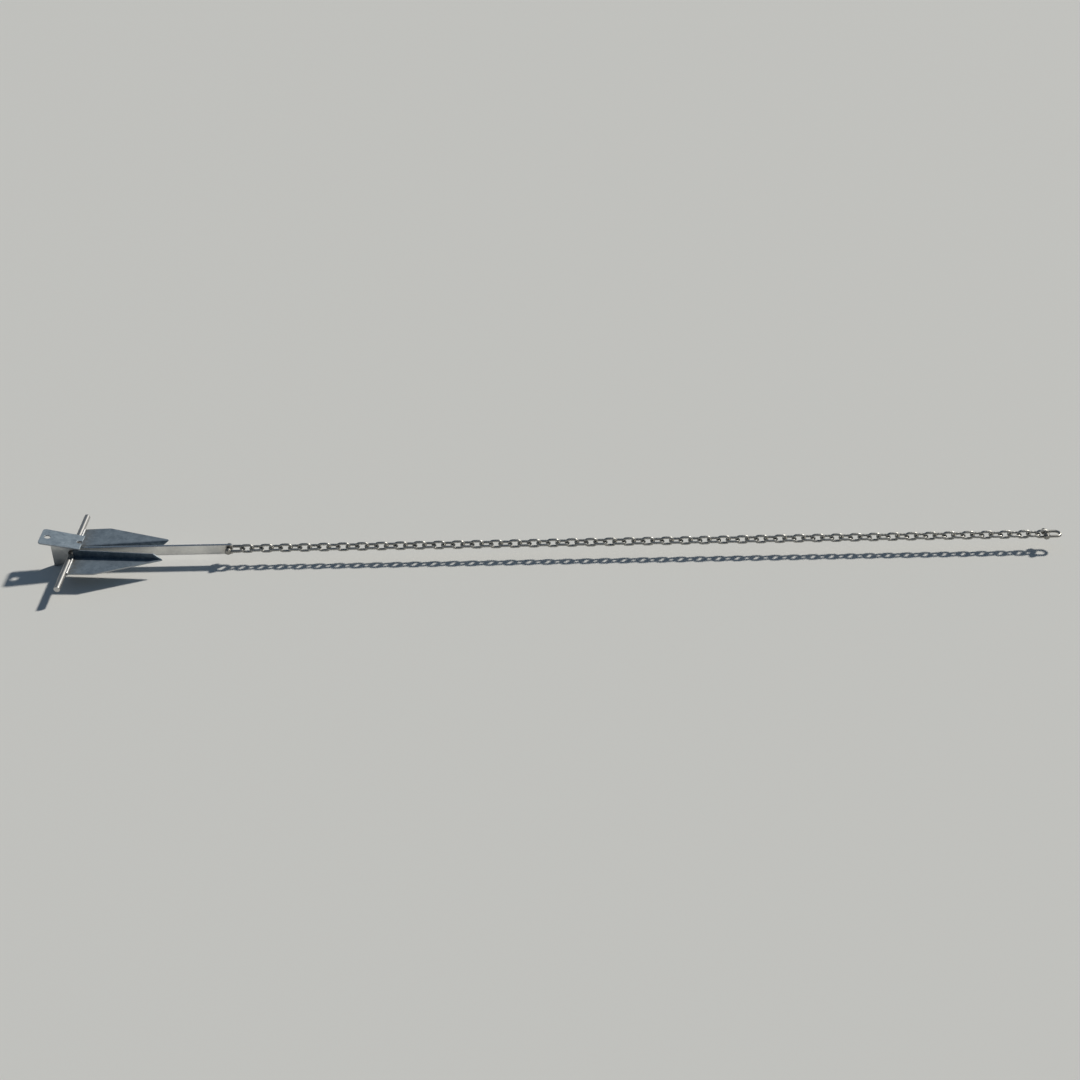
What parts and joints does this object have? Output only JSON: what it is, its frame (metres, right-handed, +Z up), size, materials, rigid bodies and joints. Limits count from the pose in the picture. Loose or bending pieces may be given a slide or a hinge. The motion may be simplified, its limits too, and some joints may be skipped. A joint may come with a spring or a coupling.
{
  "type": "boat anchor",
  "caption": "Small galvanised fluke anchor: two flukes on a round stock, a tilted trip palm, a swinging flat-bar shank, and short-link chain between two D-shackles.",
  "frame": {"origin": "on the floor at the middle of the crown's heel, in the shank's plane", "axes": "+X from the crown to the chain's free end, +Y across the flukes to the far side, +Z up"},
  "size_m": [2.7231, 0.357, 0.0934],
  "materials": {
    "plate_steel": "mottled hot-dip galvanised, dull",
    "stock_steel": "galvanised, worn smooth",
    "shank_steel": "galvanised, satin",
    "shackle_steel": "galvanised, darkened",
    "chain_steel": "galvanised, darkened"
  },
  "bodies": {
    "crown": {"stock": "stock_steel", "near_fluke": "plate_steel", "far_fluke": "plate_steel", "palm": "plate_steel", "crown_web": "shank_steel", "near_cheek": "shank_steel", "far_cheek": "shank_steel"},
    "shank": {"shank": "shank_steel"},
    "anchor_shackle": {"anchor_shackle": "shackle_steel", "anchor_shackle_pin": "shackle_steel"},
    "chain_run_01": {"chain_run_01": "chain_steel"},
    "chain_run_02": {"chain_run_02": "chain_steel"},
    "chain_run_03": {"chain_run_03": "chain_steel"},
    "chain_run_04": {"chain_run_04": "chain_steel"},
    "chain_run_05": {"chain_run_05": "chain_steel"},
    "chain_run_06": {"chain_run_06": "chain_steel"},
    "chain_run_07": {"chain_run_07": "chain_steel"},
    "chain_run_08": {"chain_run_08": "chain_steel"},
    "chain_run_09": {"chain_run_09": "chain_steel"},
    "chain_run_10": {"chain_run_10": "chain_steel"},
    "chain_run_11": {"chain_run_11": "chain_steel"},
    "chain_run_12": {"chain_run_12": "chain_steel"},
    "chain_run_13": {"chain_run_13": "chain_steel"},
    "chain_run_14": {"chain_run_14": "chain_steel"},
    "chain_run_15": {"chain_run_15": "chain_steel"},
    "chain_run_16": {"chain_run_16": "chain_steel"},
    "chain_run_17": {"chain_run_17": "chain_steel"},
    "chain_run_18": {"chain_run_18": "chain_steel"},
    "chain_run_19": {"chain_run_19": "chain_steel"},
    "chain_run_20": {"chain_run_20": "chain_steel"},
    "chain_run_21": {"chain_run_21": "chain_steel"},
    "chain_run_22": {"chain_run_22": "chain_steel"},
    "chain_run_23": {"chain_run_23": "chain_steel"},
    "chain_run_24": {"chain_run_24": "chain_steel"},
    "chain_run_25": {"chain_run_25": "chain_steel"},
    "chain_run_26": {"chain_run_26": "chain_steel"},
    "chain_run_27": {"chain_run_27": "chain_steel"},
    "chain_run_28": {"chain_run_28": "chain_steel"},
    "chain_run_29": {"chain_run_29": "chain_steel"},
    "end_shackle": {"end_shackle": "shackle_steel", "end_shackle_pin": "shackle_steel"}
  },
  "joints": [
    {"name": "shank_pivot", "type": "hinge", "parent": "crown", "child": "shank", "pos_m": [0.0501, 0, 0.0412], "axis": [0, -1, 0], "range_deg": [-30, 30]},
    {"name": "anchor_shackle_swing", "type": "hinge", "parent": "shank", "child": "anchor_shackle", "pos_m": [0.4614, 0, 0.0412], "axis": [0, 1, 0], "range_deg": [-110, 110]},
    {"name": "end_shackle_swing", "type": "hinge", "parent": "chain_run_29", "child": "end_shackle", "pos_m": [2.65305, 0, 0.0412], "axis": [0, -1, 0], "range_deg": [-90, 90]},
    {"name": "chain_swing_01", "type": "hinge", "parent": "anchor_shackle", "child": "chain_run_01", "pos_m": [0.5014, 0, 0.0412], "axis": [0, -1, 0], "range_deg": [-75, 75]},
    {"name": "chain_swing_02", "type": "hinge", "parent": "chain_run_01", "child": "chain_run_02", "pos_m": [0.57715, 0, 0.0412], "axis": [0, 0, 1], "range_deg": [-75, 75]},
    {"name": "chain_swing_03", "type": "hinge", "parent": "chain_run_02", "child": "chain_run_03", "pos_m": [0.6534, 0, 0.0412], "axis": [0, 1, 0], "range_deg": [-75, 75]},
    {"name": "chain_swing_04", "type": "hinge", "parent": "chain_run_03", "child": "chain_run_04", "pos_m": [0.72965, 0, 0.0412], "axis": [0, 0, -1], "range_deg": [-75, 75]},
    {"name": "chain_swing_05", "type": "hinge", "parent": "chain_run_04", "child": "chain_run_05", "pos_m": [0.8059, 0, 0.0412], "axis": [0, -1, 0], "range_deg": [-75, 75]},
    {"name": "chain_swing_06", "type": "hinge", "parent": "chain_run_05", "child": "chain_run_06", "pos_m": [0.88215, 0, 0.0412], "axis": [0, 0, 1], "range_deg": [-75, 75]},
    {"name": "chain_swing_07", "type": "hinge", "parent": "chain_run_06", "child": "chain_run_07", "pos_m": [0.9584, 0, 0.0412], "axis": [0, 1, 0], "range_deg": [-75, 75]},
    {"name": "chain_swing_08", "type": "hinge", "parent": "chain_run_07", "child": "chain_run_08", "pos_m": [1.03465, 0, 0.0412], "axis": [0, 0, -1], "range_deg": [-75, 75]},
    {"name": "chain_swing_09", "type": "hinge", "parent": "chain_run_08", "child": "chain_run_09", "pos_m": [1.1109, 0, 0.0412], "axis": [0, -1, 0], "range_deg": [-75, 75]},
    {"name": "chain_swing_10", "type": "hinge", "parent": "chain_run_09", "child": "chain_run_10", "pos_m": [1.18715, 0, 0.0412], "axis": [0, 0, 1], "range_deg": [-75, 75]},
    {"name": "chain_swing_11", "type": "hinge", "parent": "chain_run_10", "child": "chain_run_11", "pos_m": [1.2634, 0, 0.0412], "axis": [0, 1, 0], "range_deg": [-75, 75]},
    {"name": "chain_swing_12", "type": "hinge", "parent": "chain_run_11", "child": "chain_run_12", "pos_m": [1.33965, 0, 0.0412], "axis": [0, 0, -1], "range_deg": [-75, 75]},
    {"name": "chain_swing_13", "type": "hinge", "parent": "chain_run_12", "child": "chain_run_13", "pos_m": [1.4159, 0, 0.0412], "axis": [0, -1, 0], "range_deg": [-75, 75]},
    {"name": "chain_swing_14", "type": "hinge", "parent": "chain_run_13", "child": "chain_run_14", "pos_m": [1.49215, 0, 0.0412], "axis": [0, 0, 1], "range_deg": [-75, 75]},
    {"name": "chain_swing_15", "type": "hinge", "parent": "chain_run_14", "child": "chain_run_15", "pos_m": [1.5684, 0, 0.0412], "axis": [0, 1, 0], "range_deg": [-75, 75]},
    {"name": "chain_swing_16", "type": "hinge", "parent": "chain_run_15", "child": "chain_run_16", "pos_m": [1.64465, 0, 0.0412], "axis": [0, 0, -1], "range_deg": [-75, 75]},
    {"name": "chain_swing_17", "type": "hinge", "parent": "chain_run_16", "child": "chain_run_17", "pos_m": [1.7209, 0, 0.0412], "axis": [0, -1, 0], "range_deg": [-75, 75]},
    {"name": "chain_swing_18", "type": "hinge", "parent": "chain_run_17", "child": "chain_run_18", "pos_m": [1.79715, 0, 0.0412], "axis": [0, 0, 1], "range_deg": [-75, 75]},
    {"name": "chain_swing_19", "type": "hinge", "parent": "chain_run_18", "child": "chain_run_19", "pos_m": [1.8734, 0, 0.0412], "axis": [0, 1, 0], "range_deg": [-75, 75]},
    {"name": "chain_swing_20", "type": "hinge", "parent": "chain_run_19", "child": "chain_run_20", "pos_m": [1.94965, 0, 0.0412], "axis": [0, 0, -1], "range_deg": [-75, 75]},
    {"name": "chain_swing_21", "type": "hinge", "parent": "chain_run_20", "child": "chain_run_21", "pos_m": [2.0259, 0, 0.0412], "axis": [0, -1, 0], "range_deg": [-75, 75]},
    {"name": "chain_swing_22", "type": "hinge", "parent": "chain_run_21", "child": "chain_run_22", "pos_m": [2.10215, 0, 0.0412], "axis": [0, 0, 1], "range_deg": [-75, 75]},
    {"name": "chain_swing_23", "type": "hinge", "parent": "chain_run_22", "child": "chain_run_23", "pos_m": [2.1784, 0, 0.0412], "axis": [0, 1, 0], "range_deg": [-75, 75]},
    {"name": "chain_swing_24", "type": "hinge", "parent": "chain_run_23", "child": "chain_run_24", "pos_m": [2.25465, 0, 0.0412], "axis": [0, 0, -1], "range_deg": [-75, 75]},
    {"name": "chain_swing_25", "type": "hinge", "parent": "chain_run_24", "child": "chain_run_25", "pos_m": [2.3309, 0, 0.0412], "axis": [0, -1, 0], "range_deg": [-75, 75]},
    {"name": "chain_swing_26", "type": "hinge", "parent": "chain_run_25", "child": "chain_run_26", "pos_m": [2.40715, 0, 0.0412], "axis": [0, 0, 1], "range_deg": [-75, 75]},
    {"name": "chain_swing_27", "type": "hinge", "parent": "chain_run_26", "child": "chain_run_27", "pos_m": [2.4834, 0, 0.0412], "axis": [0, 1, 0], "range_deg": [-75, 75]},
    {"name": "chain_swing_28", "type": "hinge", "parent": "chain_run_27", "child": "chain_run_28", "pos_m": [2.55965, 0, 0.0412], "axis": [0, 0, -1], "range_deg": [-75, 75]},
    {"name": "chain_swing_29", "type": "hinge", "parent": "chain_run_28", "child": "chain_run_29", "pos_m": [2.6359, 0, 0.0412], "axis": [0, -1, 0], "range_deg": [-75, 75]}
  ]
}
